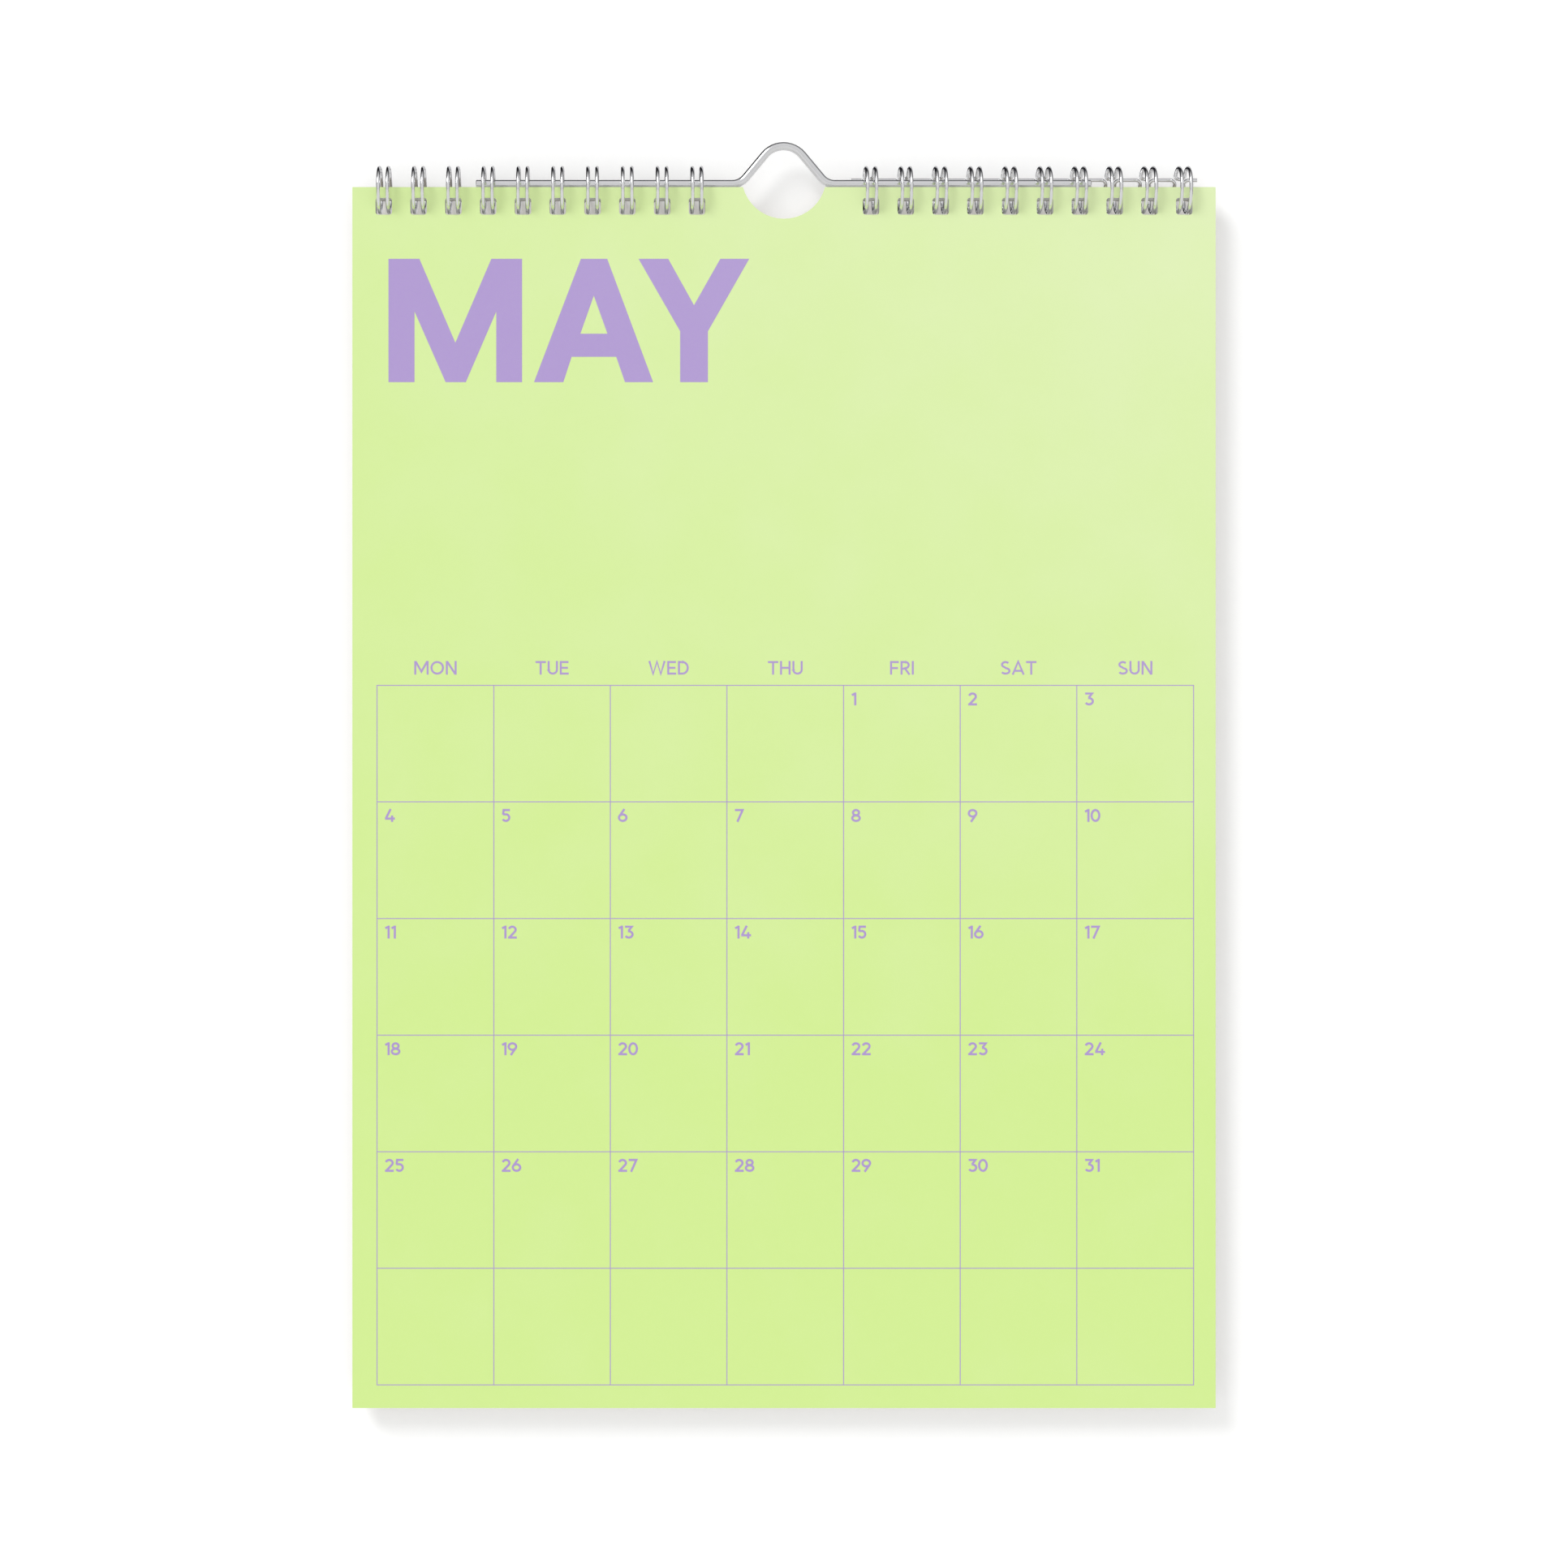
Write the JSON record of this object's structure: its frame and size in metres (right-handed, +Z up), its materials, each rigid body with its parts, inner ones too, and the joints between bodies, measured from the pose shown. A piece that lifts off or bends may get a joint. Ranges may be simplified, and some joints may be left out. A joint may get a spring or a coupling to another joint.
{
  "type": "wall calendar",
  "caption": "Wire-bound A4 month-to-a-page wall calendar on a bent wire hanger, with a leaf that lifts, a backing board that swings back and a free swing on the hanger.",
  "frame": {"origin": "the hanging point: the underside of the hanger's arch, at its middle, where the nail carries it", "axes": "+Z up along the pages as they hang, -Y out of the wall towards the reader, X across the pages"},
  "size_m": [0.21, 0.0117, 0.3084],
  "materials": {
    "printed_leaf": "uncoated card paper printed edge to edge in pale lime with lilac print",
    "leaf_block": "stack of uncoated card leaves, white cut edges",
    "board": "matt grey backing board",
    "binding_wire": "bright silver coated steel wire",
    "hanger_steel": "bright silver steel wire"
  },
  "bodies": {
    "hanger": {"hanger_wire": "hanger_steel"},
    "binding": {"binding_wire_left": "binding_wire", "binding_wire_right": "binding_wire", "leaves_behind": "leaf_block"},
    "front_leaf": {"leaf_may": "printed_leaf"},
    "backing": {"backing_board": "board"}
  },
  "joints": [
    {"name": "calendar_swing", "type": "hinge", "parent": "hanger", "child": "binding", "pos_m": [0, 0, -0.00825], "axis": [-1, 0, 0], "range_deg": [0, 30]},
    {"name": "front_leaf_turn", "type": "hinge", "parent": "binding", "child": "front_leaf", "pos_m": [0, -0.00195, -0.0094], "axis": [-1, 0, 0], "range_deg": [0, 150]},
    {"name": "backing_board_swing", "type": "hinge", "parent": "binding", "child": "backing", "pos_m": [0, 0.00168, -0.0094], "axis": [1, 0, 0], "range_deg": [0, 65]}
  ]
}
